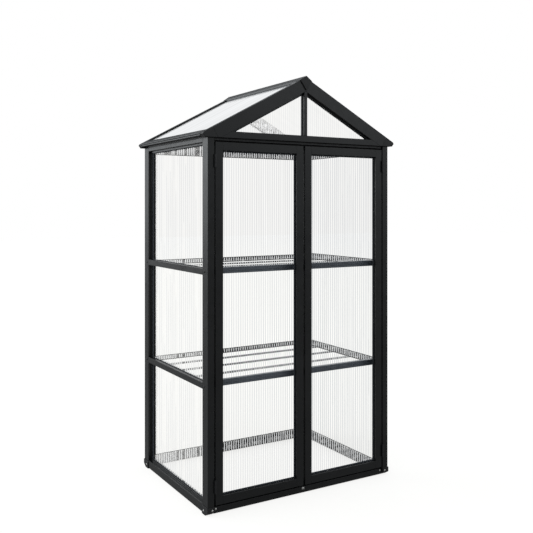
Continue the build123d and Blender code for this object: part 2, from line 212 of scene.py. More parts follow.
class GreenhouseFixings(bpy.types.PropertyGroup):
    """Seals, screws and the catch."""

    seal_colour: colour_prop("Seal colour", "Rubber seals round the sheets", (0.030, 0.034, 0.040))
    seal_roughness: share_prop("Seal roughness", "Middle roughness of the rubber", 0.7)
    door_seal: length_prop("Door seal", "How far a seal reaches over a sheet in a door", 0.0050)
    post_seal: length_prop("Post seal", "How far a seal reaches over a sheet from a post", 0.009)
    rail_seal: length_prop("Rail seal", "How far a seal reaches from a rail or in a gable", 0.0025)
    seal_depth: length_prop("Seal depth", "How far a seal stands out from its sheet", 0.0015)
    door_cover: length_prop("Door cover", "How much of a sheet is in a door's or rafter's groove", 0.0057)
    rail_cover: length_prop("Rail cover", "How much of a sheet is in a mid-rail's or tie beam's groove", 0.0047)
    lip_cover: length_prop("Lip cover", "How much of a sheet is behind the lips of a post or rail", 0.0077)
    mullion_cover: length_prop("Mullion cover", "How much of a sheet is in the groove of a mullion", 0.0027)
    steel_colour: colour_prop("Screw colour", "Plated steel of the screws", (0.55, 0.55, 0.53))
    head_radius: length_prop("Screw head radius", "Radius of a pan head", 0.0033)
    head_height: length_prop("Screw head height", "Height of a pan head", 0.0021)
    recess: length_prop("Recess", "Depth of the cross recess in a screw head", 0.0009)
    foot_screw_inset: length_prop("Foot screw inset", "From a foot's corner to the screw in its end", 0.0185)
    foot_screw_height: length_prop("Foot screw height", "Height of the screw in a foot's end", 0.018)
    foot_side_inset: length_prop("Foot side inset", "From a foot's corner to the screw in its side", 0.0285)
    foot_side_height: length_prop("Foot side height", "Height of the screw in a foot's side", 0.013)
    sill_screw_inset: length_prop("Sill screw inset", "From the sill's end to its screw", 0.0083)
    rail_screw_reach: length_prop("Rail screw reach", "From a mid-rail's end to the screw in the post", 0.0147)
    catch_size: FloatVectorProperty(name="Catch size", description="Width, depth and height of the catch",
                                    default=(0.011, 0.0024, 0.007), subtype="XYZ_LENGTH", unit="LENGTH")
    catch_shift: FloatProperty(name="Catch shift", description="Place of the catch across the sill",
                               default=-0.0027, unit="LENGTH", subtype="DISTANCE")
    catch_drop: length_prop("Catch drop", "From the sill's top to the catch's middle", 0.005)


class GreenhouseStage(bpy.types.PropertyGroup):
    """Camera and light."""

    camera_place: FloatVectorProperty(name="Camera place", description="Where the camera stands",
                                      default=(-1.444, -2.444, 1.018), subtype="TRANSLATION", unit="LENGTH")
    camera_turn: FloatProperty(name="Camera turn", description="Heading, clockwise from the back wall",
                               default=math.radians(30.76), subtype="ANGLE", unit="ROTATION")
    lens: amount_prop("Lens", "Focal length in millimetres", 49.56, 1.0)
    rise: FloatProperty(name="Lens rise", description="Vertical lens shift as a share of the frame",
                        default=-0.1126)
    floor_size: length_prop("Floor size", "Width of the studio floor", 40.0)
    floor_colour: colour_prop("Floor colour", "Painted studio floor", (0.18, 0.1795, 0.1785))
    floor_glow: share_prop("Floor glow", "What lifts the floor to white where the camera sees it", 0.845)
    floor_near: colour_prop("Floor near", "Tint of the white floor round the greenhouse", (1.0, 0.997, 0.983))
    floor_far: colour_prop("Floor far", "Tint of the white floor far behind", (0.97, 0.97, 0.97))
    floor_reach: length_prop("Floor reach", "How far off the floor's tint is the far one", 20.0)
    metal_floor: share_prop("Floor in metal", "How much of the white floor the satin metal shows", 0.16)
    front_light: share_prop("Front light", "Brightness of the studio in front of the doors", 0.20)
    side_light: amount_prop("Side light", "What the soft light at the left adds", 2.9)
    gable_light: amount_prop("Gable light", "What the light high in front adds", 0.7)
    rim_light: amount_prop("Rim light", "What the light behind at the right adds", 1.0)
    flag: share_prop("Flag", "What a dark screen high behind takes away", 0.8)
    top_light: share_prop("Top light", "Brightness of the studio overhead", 1.0)
    back_light: share_prop("Back light", "Brightness of the white wall behind", 0.85)
    light_colour: colour_prop("Light colour", "Tint of the studio light", (0.94, 0.975, 1.0))


def nodes_in(slot):
    """Names of the CAD nodes that take one material slot."""
    return sorted(node for node, owner in SLOT_OF.items() if owner == slot)


def new_material(name):
    """An empty node material, with its tree and its shader."""
    material = bpy.data.materials.new(name)
    material.use_nodes = True
    tree = material.node_tree
    return material, tree, tree.nodes["Principled BSDF"]


def show(tree, surface):
    """Makes a shader socket a material's surface."""
    tree.links.new(surface, tree.nodes["Material Output"].inputs["Surface"])


def add_node(tree, kind, **values):
    """A node of one kind, with its properties or input sockets set."""
    node = tree.nodes.new(kind)
    for key, value in values.items():
        if key in node.bl_rna.properties:
            setattr(node, key, value)
        else:
            node.inputs[key.replace("_", " ").title()].default_value = value
    return node


def combined(tree, operation, first, second):
    """A socket's value put together with another socket's, or with a number."""
    node = add_node(tree, "ShaderNodeMath", operation=operation)
    tree.links.new(first, node.inputs[0])
    if isinstance(second, float):
        node.inputs[1].default_value = second
    else:
        tree.links.new(second, node.inputs[1])
    return node.outputs["Value"]


def object_noise(tree, waves, detail=PLAIN_DETAIL):
    """A noise over the piece's own coordinates, in waves per metre."""
    place = add_node(tree, "ShaderNodeTexCoord")
    noise = add_node(tree, "ShaderNodeTexNoise", scale=waves, detail=detail)
    tree.links.new(place.outputs["Object"], noise.inputs["Vector"])
    return noise


def spread(tree, source, start, stop, low, high):
    """A socket's values from start to stop, stretched from low to high."""
    span = add_node(tree, "ShaderNodeMapRange")
    for name, value in (("From Min", start), ("From Max", stop), ("To Min", low), ("To Max", high)):
        span.inputs[name].default_value = value
    tree.links.new(source, span.inputs["Value"])
    return span.outputs["Result"]


def ranged(tree, noise, low, high):
    """The middle span of a noise's values, stretched from low to high."""
    return spread(tree, noise.outputs["Fac"], *NOISE_MIDDLE, low, high)


def two_colours(tree, factor, first, second):
    """A blend of two colours by a factor socket."""
    mix = add_node(tree, "ShaderNodeMix", data_type="RGBA")
    mix.inputs["A"].default_value = (*first, 1.0)
    mix.inputs["B"].default_value = (*second, 1.0)
    tree.links.new(factor, mix.inputs["Factor"])
    return mix.outputs["Result"]


def scaled(colour, amount):
    """A colour made lighter or darker."""
    return tuple(min(1.0, part * amount) for part in colour)


def bump(tree, height, strength, distance):
    """A bump from a height socket."""
    node = add_node(tree, "ShaderNodeBump", strength=strength, distance=distance)
    tree.links.new(height, node.inputs["Height"])
    return node.outputs["Normal"]


def satin_coat(name, colour, roughness, grain):
    """A coated or moulded surface: fine grain, with faint patches of colour and of gloss."""
    material, tree, shader = new_material(name)
    waves, depth = grain
    patches = object_noise(tree, PATCH_WAVES)
    smears = object_noise(tree, SMEAR_WAVES, SMEAR_DETAIL)
    fine = object_noise(tree, waves, FINE_DETAIL)
    dark, light = (scaled(colour, amount) for amount in PATCH_SHADES)
    shade = two_colours(tree, ranged(tree, patches, 0.0, 1.0), dark, light)
    gloss = ranged(tree, smears, *(roughness + amount for amount in SMEAR_GLOSS))
    shader.inputs["Specular IOR Level"].default_value = COAT_SPECULAR
    tree.links.new(shade, shader.inputs["Base Color"])
    tree.links.new(gloss, shader.inputs["Roughness"])
    tree.links.new(bump(tree, fine.outputs["Fac"], GRAIN_STRENGTH, depth), shader.inputs["Normal"])
    return material


def plated_steel(colour):
    """Bright plated steel of the screws."""
    material, tree, shader = new_material("plated_steel")
    shader.inputs["Metallic"].default_value = 1.0
    haze = object_noise(tree, HAZE_WAVES)
    shade = two_colours(tree, haze.outputs["Fac"], scaled(colour, HAZE_SHADE), colour)
    tree.links.new(shade, shader.inputs["Base Color"])
    tree.links.new(ranged(tree, haze, *HAZE_GLOSS), shader.inputs["Roughness"])
    return material


def mix_shaders(tree, factor, first, second):
    """A blend of two shaders by a factor socket."""
    mix = add_node(tree, "ShaderNodeMixShader")
    tree.links.new(factor, mix.inputs["Fac"])
    tree.links.new(first, mix.inputs[1])
    tree.links.new(second, mix.inputs[2])
    return mix.outputs["Shader"]


def glance(tree, power):
    """How glancing the look at a surface is, from 0 face on to 1 along it, raised to a power."""
    look = add_node(tree, "ShaderNodeLayerWeight")
    return combined(tree, "POWER", look.outputs["Facing"], power)


def flute_noise(tree, streaks):
    """A noise in long streaks along the flutes; streaks is how many there are in a metre."""
    place = add_node(tree, "ShaderNodeUVMap", uv_map=FLUTE_MAP)
    stretch = add_node(tree, "ShaderNodeMapping", scale=(streaks, streaks * STREAK_SHARE, 1.0))
    noise = add_node(tree, "ShaderNodeTexNoise", scale=1.0, detail=FINE_DETAIL)
    tree.links.new(place.outputs["UV"], stretch.inputs["Vector"])
    tree.links.new(stretch.outputs["Vector"], noise.inputs["Vector"])
    return noise


def streaky(tree, colour, streaks, depth):
    """A colour with darker streaks along the flutes: how many there are in a metre, and how dark."""
    pattern = ranged(tree, flute_noise(tree, streaks), 0.0, 1.0)
    return two_colours(tree, pattern, scaled(colour, 1.0 - depth), colour)


def picked_share(tree, noise, share):
    """1 on about a share of a noise's streaks and 0 on the others."""
    middle = 0.5 + RIB_SPAN * (0.5 - share)
    return spread(tree, noise.outputs["Fac"], middle - LINE_EDGE, middle + LINE_EDGE, 0.0, 1.0)


def clear_shader(tree, sheet):
    """Clear plastic with faint streaks along the flutes."""
    clear = add_node(tree, "ShaderNodeBsdfTransparent")
    tree.links.new(streaky(tree, sheet.tint, sheet.streaks, sheet.streak_depth), clear.inputs["Color"])
    return clear.outputs["BSDF"]


def let_through(shader):
    """Makes a shader pass light on, bent a little."""
    shader.inputs["Transmission Weight"].default_value = 1.0
    shader.inputs["Roughness"].default_value = 0.0
    shader.inputs["IOR"].default_value = RIB_IOR


def clear_film(sheet):
    """Plain inner faces of the sheets."""
    material, tree, shader = new_material("clear_film")
    show(tree, clear_shader(tree, sheet))
    tree.nodes.remove(shader)
    return material


def shining_skin(name, colour, streaks, depth, reach, power, light_line_share, sheet):
    """Outside of a sheet: clear, with a mirror shine that grows at a glancing look and is lost from within."""
    material, tree, shine = new_material(name)
    tree.links.new(streaky(tree, colour, streaks, depth), shine.inputs["Base Color"])
    shine.inputs["Metallic"].default_value = 1.0
    shine.inputs["Roughness"].default_value = 0.0
    face = add_node(tree, "ShaderNodeNewGeometry")
    outside = spread(tree, face.outputs["Backfacing"], 0.0, 1.0, 1.0, 0.0)
    cover = combined(tree, "MULTIPLY", spread(tree, glance(tree, power), *reach, 0.0, 1.0), outside)
    lens = add_node(tree, "ShaderNodeBsdfPrincipled")
    lens.inputs["Base Color"].default_value = (*sheet.tint, 1.0)
    let_through(lens)
    # Lines of painted light: here the sheet shows the white behind in place of the rails.
    lines = picked_share(tree, flute_noise(tree, sheet.painted_light_lines), light_line_share)
    through = mix_shaders(tree, lines, clear_shader(tree, sheet), lens.outputs["BSDF"])
    show(tree, mix_shaders(tree, cover, through, shine.outputs["BSDF"]))
    return material


def lit_rib(name, colour, share, sheet):
    """Ribs that carry the light of what is behind the sheet, with the white in place of the rails: painted
    light from the flutes; where less than all do, the others are clear.
    """
    material, tree, glass = new_material(name)
    tree.links.new(streaky(tree, colour, sheet.streaks, sheet.streak_depth), glass.inputs["Base Color"])
    let_through(glass)
    if share < 1.0:
        picked = picked_share(tree, flute_noise(tree, sheet.streaks), share)
        show(tree, mix_shaders(tree, picked, clear_shader(tree, sheet), glass.outputs["BSDF"]))
    return material


def shows_white(tree, metal_share):
    """1 where the camera sees a surface, straight or in clear plastic, metal_share in satin metal, else 0."""
    path = add_node(tree, "ShaderNodeLightPath")
    clear = combined(tree, "MAXIMUM", path.outputs["Is Transmission Ray"], path.outputs["Is Singular Ray"])
    seen = combined(tree, "MAXIMUM", path.outputs["Is Camera Ray"], clear)
    metal = combined(tree, "MULTIPLY", path.outputs["Is Glossy Ray"], metal_share)
    return combined(tree, "MAXIMUM", seen, metal)


def new_piece(bm, name, body, materials, replaced=()):
    """Makes a mesh object of a bmesh, with its materials, and hangs it on its body."""
    mesh = bpy.data.meshes.new(name)
    bm.to_mesh(mesh)
    bm.free()
    for material in materials:
        mesh.materials.append(material)
    piece = bpy.data.objects.new(name, mesh)
    bpy.context.scene.collection.objects.link(piece)
    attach(piece, body)
    if replaced:
        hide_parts(*replaced)
    return piece


def merged_copy(node):
    """A copy of a CAD node's mesh with its corners welded and its flat faces whole."""
    bm = bmesh.new()
    bm.from_mesh(frame["nodes"][node].data)
    bmesh.ops.remove_doubles(bm, verts=bm.verts, dist=WELD_DISTANCE)
    bmesh.ops.dissolve_limit(bm, angle_limit=FLAT_ANGLE, verts=bm.verts, edges=bm.edges)
    return bm


def keep_flats_sharp(bm):
    """Marks the edges of flat faces, so that the rounding beside them doesn't bend their shading."""
    for edge in bm.edges:
        edge.smooth = all(face.smooth for face in edge.link_faces)


def round_edges(bm, radius, steps):
    """Rounds the sharp edges of a solid."""
    edges = [edge for edge in bm.edges if edge.is_manifold and edge.calc_face_angle() > SHARP_ANGLE]
    for face in bm.faces:
        face.smooth = False
    rounded = bmesh.ops.bevel(bm, geom=edges, offset=radius, offset_type="OFFSET", affect="EDGES",
                              segments=steps, profile=0.5, material=-1, clamp_overlap=True)
    for face in rounded["faces"]:
        face.smooth = True
    keep_flats_sharp(bm)


def solid_boxes(node):
    """The lowest and highest corners of each separate solid in a CAD node."""
    bm = merged_copy(node)
    left = set(bm.verts)
    boxes = []
    while left:
        group = set()
        waiting = [left.pop()]
        while waiting:
            vert = waiting.pop()
            group.add(vert)
            for edge in vert.link_edges:
                other = edge.other_vert(vert)
                if other in left:
                    left.remove(other)
                    waiting.append(other)
        boxes.append(tuple(Vector([pick(vert.co[axis] for vert in group) for axis in range(3)])
                           for pick in (min, max)))
    bm.free()
    return sorted(boxes, key=lambda box: tuple(round(part, BOX_DIGITS) for part in (*box[0], *box[1])))


def sheet_section(width, pitch, sheet):
    """Cross-section of a twin-wall sheet in X and Y: two skins joined by webs, sunk a little in between."""
    flutes = max(1, round((width - sheet.web) / pitch))
    pitch = (width - sheet.web) / flutes
    steps = sheet.skin_steps
    columns = flutes * (steps + 1) + 1
    levels = (0.0, sheet.skin, sheet.thickness - sheet.skin, sheet.thickness)
    bm = bmesh.new()
    bmesh.ops.create_grid(bm, x_segments=columns, y_segments=SHEET_ROWS, size=0.5)
    hollow = []
    for face in bm.faces:
        middle = face.calc_center_median()
        column = math.floor((middle.x + 0.5) * columns)
        row = math.floor((middle.y + 0.5) * SHEET_ROWS)
        if row == WEB_ROW and column % (steps + 1):
            hollow.append(face)
    for vert in bm.verts:
        flute, step = divmod(round((vert.co.x + 0.5) * columns), steps + 1)
        level = round((vert.co.y + 0.5) * SHEET_ROWS)
        across = flute * pitch
        sunk = 0.0
        if step:
            share = (step - 1) / steps
            across += sheet.web + share * (pitch - sheet.web)
            sunk = sheet.sink * 4.0 * share * (1.0 - share)
        depth = levels[level]
        if level == 0:
            depth += sunk
        if level == SHEET_ROWS:
            depth -= sunk
        vert.co = (across - width / 2.0, depth - sheet.thickness / 2.0, 0.0)
    bmesh.ops.delete(bm, geom=hollow, context="FACES")
    return bm


def sheet_solid(width, length, pitch, sheet, slope=0.0):
    """A twin-wall sheet with its ribs along Z; a slope of more than 0 makes its top fall towards +X."""
    bm = sheet_section(width, pitch, sheet)
    top = bmesh.ops.extrude_face_region(bm, geom=bm.faces[:])
    for vert in [item for item in top["geom"] if isinstance(item, bmesh.types.BMVert)]:
        vert.co.z = length - slope * (vert.co.x + width / 2.0 if slope > 0.0 else vert.co.x - width / 2.0)
    bmesh.ops.recalc_face_normals(bm, faces=bm.faces)
    for face in bm.faces:
        inside = abs(face.calc_center_median().x) < width / 2.0 - WELD_DISTANCE
        if inside and abs(face.normal.x) > FACING:
            face.material_index = RIB_INDEX
        elif face.normal.y > FACING:
            face.material_index = OUTSIDE_INDEX
    flutes = bm.loops.layers.uv.new(FLUTE_MAP)
    for face in bm.faces:
        for loop in face.loops:
            loop[flutes].uv = (loop.vert.co.x, loop.vert.co.z)
    return bm


def placed(bm, across, outward, along, corner):
    """Turns a sheet from its own axes onto three directions and moves it to its place."""
    turn = Matrix((across, outward, along)).transposed().to_4x4()
    bmesh.ops.transform(bm, matrix=Matrix.Translation(corner) @ turn, verts=bm.verts)
    bmesh.ops.recalc_face_normals(bm, faces=bm.faces)
    return bm


def joined(parts):
    """One bmesh of several."""
    whole = bmesh.new()
    for part in parts:
        mesh = bpy.data.meshes.new("part")
        part.to_mesh(mesh)
        part.free()
        whole.from_mesh(mesh)
        bpy.data.meshes.remove(mesh)
    return whole


def upright_sheet(box, sheet, sloped=False):
    """A twin-wall sheet that stands in a box, its ribs upright, with its top level or sloped."""
    low, high = box
    size = high - low
    middle = (low + high) / 2.0
    if size.x < size.y:
        outward, width, pitch = Vector((math.copysign(1.0, middle.x), 0.0, 0.0)), size.y, sheet.side_pitch
    else:
        outward, width, pitch = Vector((0.0, math.copysign(1.0, middle.y), 0.0)), size.x, sheet.flute_pitch
    across = outward.cross(UP)
    slope = math.copysign(size.z / width, middle.x * across.x) if sloped else 0.0
    solid = sheet_solid(width, size.z, pitch, sheet, slope)
    return placed(solid, across, outward, UP, Vector((middle.x, middle.y, low.z)))


def gable_sheet(box, sheet):
    """A three-cornered twin-wall sheet under a rafter."""
    return upright_sheet(box, sheet, True)


def roof_sheet(box, sheet):
    """A twin-wall sheet that lies on the rafters, its ribs down the slope."""
    low, high = box
    run = high.x - low.x
    rise = high.z - low.z
    pitch = math.atan2(rise, run) - math.asin(sheet.thickness / math.hypot(run, rise))
    side = math.copysign(1.0, low.x + high.x)
    along = Vector((-side * math.cos(pitch), 0.0, math.sin(pitch)))
    outward = Vector((side * math.sin(pitch), 0.0, math.cos(pitch)))
    length = run / math.cos(pitch) - sheet.thickness * math.tan(pitch)
    middle = (low + high) / 2.0
    solid = sheet_solid(high.y - low.y, length, sheet.side_pitch, sheet)
    return placed(solid, outward.cross(along), outward, along, middle - along * (length / 2.0))


def seal_ring(outer, inner, outward, fixings):
    """A rubber ring between two flat outlines, standing out one way."""
    bm = bmesh.new()
    for corners in (outer, inner):
        verts = [bm.verts.new(corner) for corner in corners]
        for first, second in zip(verts, verts[1:] + verts[:1]):
            bm.edges.new((first, second))
    bmesh.ops.bridge_loops(bm, edges=bm.edges[:])
    raised = bmesh.ops.extrude_face_region(bm, geom=bm.faces[:])
    top = [item for item in raised["geom"] if isinstance(item, bmesh.types.BMVert)]
    bmesh.ops.translate(bm, vec=outward * fixings.seal_depth, verts=top)
    bmesh.ops.recalc_face_normals(bm, faces=bm.faces)
    crest = [edge for edge in bm.edges
             if all(vert in top for vert in edge.verts) and edge.calc_face_angle() > SHARP_ANGLE]
    bmesh.ops.bevel(bm, geom=crest, offset=fixings.seal_depth / 2.0, offset_type="OFFSET", affect="EDGES",
                    segments=SMALL_EDGE_STEPS, profile=0.5, material=-1, clamp_overlap=True)
    return bm


def upright_outline(box, below, above, beside):
    """Corners of an upright sheet's outside that stay clear of the frame, and the way it faces."""
    low, high = box
    middle = (low + high) / 2.0
    if high.x - low.x < high.y - low.y:
        outward = Vector((math.copysign(1.0, middle.x), 0.0, 0.0))
        face = Vector((high.x if middle.x > 0.0 else low.x, 0.0, 0.0))
        ends = (Vector((0.0, low.y + beside, 0.0)), Vector((0.0, high.y - beside, 0.0)))
    else:
        outward = Vector((0.0, math.copysign(1.0, middle.y), 0.0))
        face = Vector((0.0, high.y if middle.y > 0.0 else low.y, 0.0))
        ends = (Vector((low.x + beside, 0.0, 0.0)), Vector((high.x - beside, 0.0, 0.0)))
    heights = (UP * (low.z + below), UP * (high.z - above))
    corners = [face + ends[0] + heights[0], face + ends[1] + heights[0],
               face + ends[1] + heights[1], face + ends[0] + heights[1]]
    return corners, outward


def gable_outline(box, fixings, inset):
    """Corners of a gable sheet's outside, an inset away from the frame round it, and the way it faces."""
    low, high = box
    side = math.copysign(1.0, low.x + high.x)
    outward = Vector((0.0, math.copysign(1.0, low.y + high.y), 0.0))
    depth = high.y if outward.y > 0.0 else low.y
    near, far = (low.x, high.x) if side > 0.0 else (high.x, low.x)
    slope = (high.z - low.z) / abs(far - near)
    drop = (fixings.door_cover + inset) * math.hypot(1.0, slope)
    foot = low.z + fixings.rail_cover + inset
    clear = fixings.mullion_cover + inset
    inner = near + side * clear
    peak = high.z - slope * clear - drop
    tip = inner + side * (peak - foot) / slope
    return [Vector((inner, depth, foot)), Vector((tip, depth, foot)), Vector((inner, depth, peak))], outward


def screw_head(fixings):
    """A pan head with a cross recess, standing on its own origin along Z."""
    bm = bmesh.new()
    bmesh.ops.create_grid(bm, x_segments=HEAD_CELLS, y_segments=HEAD_CELLS, size=1.0)
    cross = []
    for face in bm.faces:
        nearer, farther = sorted(abs(part) for part in face.calc_center_median().xy)
        if nearer < CROSS_WIDTH and farther < CROSS_REACH:
            cross.append(face)
    for vert in bm.verts:
        reach = max(abs(vert.co.x), abs(vert.co.y))
        flat = vert.co.normalized() * reach * fixings.head_radius
        vert.co = (flat.x, flat.y, fixings.head_height * (1.0 - HEAD_DROOP * reach ** HEAD_CURVE))
    sunk = bmesh.ops.extrude_face_region(bm, geom=cross)
    bmesh.ops.delete(bm, geom=[face for face in cross if face.is_valid], context="FACES_ONLY")
    floor = [item for item in sunk["geom"] if isinstance(item, bmesh.types.BMVert)]
    bmesh.ops.translate(bm, vec=-UP * fixings.recess, verts=floor)
    rim = [edge for edge in bm.edges if edge.is_boundary]
    skirt = bmesh.ops.extrude_edge_only(bm, edges=rim)
    for item in skirt["geom"]:
        if isinstance(item, bmesh.types.BMVert):
            item.co.z = 0.0
    bmesh.ops.recalc_face_normals(bm, faces=bm.faces)
    for face in bm.faces:
        face.smooth = face.normal.z > HEAD_SMOOTH
    keep_flats_sharp(bm)
    return bm


def screws_at(places, fixings):
    """Screw heads at places, each given with the way it points."""
    heads = []
    for place, way in places:
        head = screw_head(fixings)
        turn = UP.rotation_difference(way).to_matrix().to_4x4()
        bmesh.ops.transform(head, matrix=Matrix.Translation(place) @ turn, verts=head.verts)
        heads.append(head)
    return joined(heads)


class GREENHOUSE_OT_coat_frame(bpy.types.Operator):
    """Rounds the edges of the metal sections, moulded ends and hinges, and coats them"""

    bl_idname = "greenhouse.coat_frame"
    bl_label = "Coat the frame"

    def execute(self, context):
        coat = context.scene.greenhouse_coat
        metal = satin_coat("powder_coat", coat.metal_colour, coat.metal_roughness, POWDER_GRAIN)
        plastic = satin_coat("moulded_plastic", coat.plastic_colour, coat.plastic_roughness, MOULDED_GRAIN)
        hinge = satin_coat("hinge_coat", coat.hinge_colour, coat.hinge_roughness, STEEL_GRAIN)
        finishes = {
            "black_frame": (metal, coat.section_edge),
            "black_plastic": (plastic, coat.moulded_edge),
            "hinge_metal": (hinge, coat.hinge_edge),
        }
        for slot, (material, radius) in finishes.items():
            for node in nodes_in(slot):
                if node in SHELVES:
                    continue
                bm = merged_copy(node)
                round_edges(bm, radius, coat.edge_steps)
                piece = new_piece(bm, node + "_coated", BODY_OF[node], [material], [node])
                piece.visible_transmission = any(word in node for word in UPRIGHTS)
        return {"FINISHED"}


class GREENHOUSE_OT_coat_shelves(bpy.types.Operator):
    """Rounds the edges of the shelves' front bars and slats, and coats them"""

    bl_idname = "greenhouse.coat_shelves"
    bl_label = "Coat the shelves"

    def execute(self, context):
        coat = context.scene.greenhouse_coat
        # The lighter, bluer shelf coats hold a painted veil of scattered light on top of their own grey.
        bar_coat_and_painted_veil = satin_coat("bar_coat_and_painted_veil", coat.bar_colour_and_painted_veil, coat.metal_roughness, POWDER_GRAIN)
        slat_coat_and_painted_veil = satin_coat("slat_coat_and_painted_veil", coat.slat_colour_and_painted_veil, coat.metal_roughness, POWDER_GRAIN)
        for node in SHELVES:
            bar = min(solid_boxes(node), key=lambda box: box[0].y)
            for name, behind, shelf in (("_bar", False, bar_coat_and_painted_veil), ("_slats", True, slat_coat_and_painted_veil)):
                bm = merged_copy(node)
                others = [vert for vert in bm.verts if (vert.co.y > bar[1].y + WELD_DISTANCE) != behind]
                bmesh.ops.delete(bm, geom=others, context="VERTS")
                round_edges(bm, coat.section_edge, coat.edge_steps)
                piece = new_piece(bm, node + name, BODY_OF[node], [shelf], [node])
                piece.visible_transmission = not behind
        return {"FINISHED"}


class GREENHOUSE_OT_glaze(bpy.types.Operator):
    """Fits ribbed twin-wall sheets in the walls, doors, gables and roof"""

    bl_idname = "greenhouse.glaze"
    bl_label = "Glaze"

    def execute(self, context):
        sheet = context.scene.greenhouse_sheet
        film = clear_film(sheet)
        door_skin, wall_skin, gable_skin = (
            shining_skin(name, sheet.shine_colour, sheet.streaks, sheet.streak_depth,
                         (sheet.sheen_start, sheet.sheen_full), sheet.sheen_power, light_line_share, sheet)
            for name, light_line_share in (("door_skin", sheet.door_lines), ("wall_skin", sheet.wall_lines),
                                ("gable_skin", sheet.gable_lines)))
        roof_skin = shining_skin("roof_skin", sheet.roof_shine_colour, sheet.roof_bands, sheet.roof_streaks,
                                 (sheet.roof_sheen_start, sheet.roof_sheen_full), sheet.roof_sheen_power,
                                 sheet.door_lines, sheet)
        door_rib = lit_rib("door_rib", sheet.door_rib_colour, 1.0, sheet)
        gable_rib = lit_rib("gable_rib", sheet.gable_rib_colour, 1.0, sheet)
        wall_rib = lit_rib("wall_rib", sheet.wall_rib_colour, sheet.wall_rib_share, sheet)
        for node in nodes_in("twin_wall_panel"):
            make, rib, outside = upright_sheet, film, wall_skin
            if "gable" in node:
                make, rib, outside = gable_sheet, gable_rib, gable_skin
            elif "roof" in node:
                make, outside = roof_sheet, roof_skin
            elif "door" in node:
                rib, outside = door_rib, door_skin
            elif node in SIDE_PANELS:
                rib = wall_rib
            bm = joined([make(box, sheet) for box in solid_boxes(node)])
            new_piece(bm, node + "_ribbed", BODY_OF[node], [film, rib, outside], [node])
        return {"FINISHED"}


class GREENHOUSE_OT_fit_seals(bpy.types.Operator):
    """Fits rubber seals round the sheets of the walls, doors and gables"""

    bl_idname = "greenhouse.fit_seals"
    bl_label = "Fit the seals"

    def execute(self, context):
        fixings = context.scene.greenhouse_fixings
        rubber = satin_coat("seal_rubber", fixings.seal_colour, fixings.seal_roughness, RUBBER_GRAIN)
        for node in nodes_in("twin_wall_panel"):
            if "roof" in node:
                continue
            boxes = solid_boxes(node)
            lowest = min(low.z for low, high in boxes)
            highest = max(high.z for low, high in boxes)
            rings = []
            for box in boxes:
                if "gable" in node:
                    outer, outward = gable_outline(box, fixings, 0.0)
                    inner, outward = gable_outline(box, fixings, fixings.rail_seal)
                else:
                    covers, widths = self.reaches(node, box, lowest, highest, fixings)
                    outer, outward = upright_outline(box, *covers)
                    inner, outward = upright_outline(
                        box, *(cover + width for cover, width in zip(covers, widths)))
                rings.append(seal_ring(outer, inner, outward, fixings))
            new_piece(joined(rings), node + "_seals", BODY_OF[node], [rubber])
        return {"FINISHED"}

    def reaches(self, node, box, lowest, highest, fixings):
        """What the frame covers of a sheet below, above and beside, and how far the seal reaches from there."""
        if "door" in node:
            return [fixings.door_cover] * 3, [fixings.door_seal] * 3
        low, high = box
        below = fixings.lip_cover if low.z == lowest else fixings.rail_cover
        above = fixings.lip_cover if high.z == highest else fixings.rail_cover
        return [below, above, fixings.lip_cover], [fixings.rail_seal, fixings.rail_seal, fixings.post_seal]


class GREENHOUSE_OT_fit_screws(bpy.types.Operator):
    """Fits the screws in the feet, the sill's ends and the posts beside the mid-rails"""

    bl_idname = "greenhouse.fit_screws"
    bl_label = "Fit the screws"

    def execute(self, context):
        coat = context.scene.greenhouse_coat
        fixings = context.scene.greenhouse_fixings
        steel = plated_steel(fixings.steel_colour)
        black = satin_coat("screw_coat", coat.hinge_colour, coat.hinge_roughness, STEEL_GRAIN)
        bright = screws_at(self.foot_places(fixings) + self.sill_places(fixings), fixings)
        new_piece(bright, "foot_screws", "frame", [steel])
        dark = screws_at(self.rail_places(fixings), fixings)
        new_piece(dark, "rail_screws", "frame", [black])
        return {"FINISHED"}

    def foot_places(self, fixings):
        """One screw in the end and one in the side of each foot."""
        places = []
        for low, high in solid_boxes("feet"):
            middle = (low + high) / 2.0
            side, end = math.copysign(1.0, middle.x), math.copysign(1.0, middle.y)
            x = high.x if side > 0.0 else low.x
            y = high.y if end > 0.0 else low.y
            places.append((Vector((x - side * fixings.foot_screw_inset, y, fixings.foot_screw_height)),
                           Vector((0.0, end, 0.0))))
            places.append((Vector((x, y - end * fixings.foot_side_inset, fixings.foot_side_height)),
                           Vector((side, 0.0, 0.0))))
        return places

    def sill_places(self, fixings):
        """One screw near each end of the sill."""
        low, high = solid_boxes("front_sill")[0]
        height = fixings.foot_screw_height
        return [(Vector((x, low.y, height)), Vector((0.0, -1.0, 0.0)))
                for x in (low.x + fixings.sill_screw_inset, high.x - fixings.sill_screw_inset)]

    def rail_places(self, fixings):
        """One screw in the side of a post at each end of a mid-rail."""
        places = []
        for node, side in (("left_mid_rails", -1.0), ("right_mid_rails", 1.0)):
            for low, high in solid_boxes(node):
                x = high.x if side > 0.0 else low.x
                for y in (low.y - fixings.rail_screw_reach, high.y + fixings.rail_screw_reach):
                    places.append((Vector((x, y, (low.z + high.z) / 2.0)), Vector((side, 0.0, 0.0))))
        return places


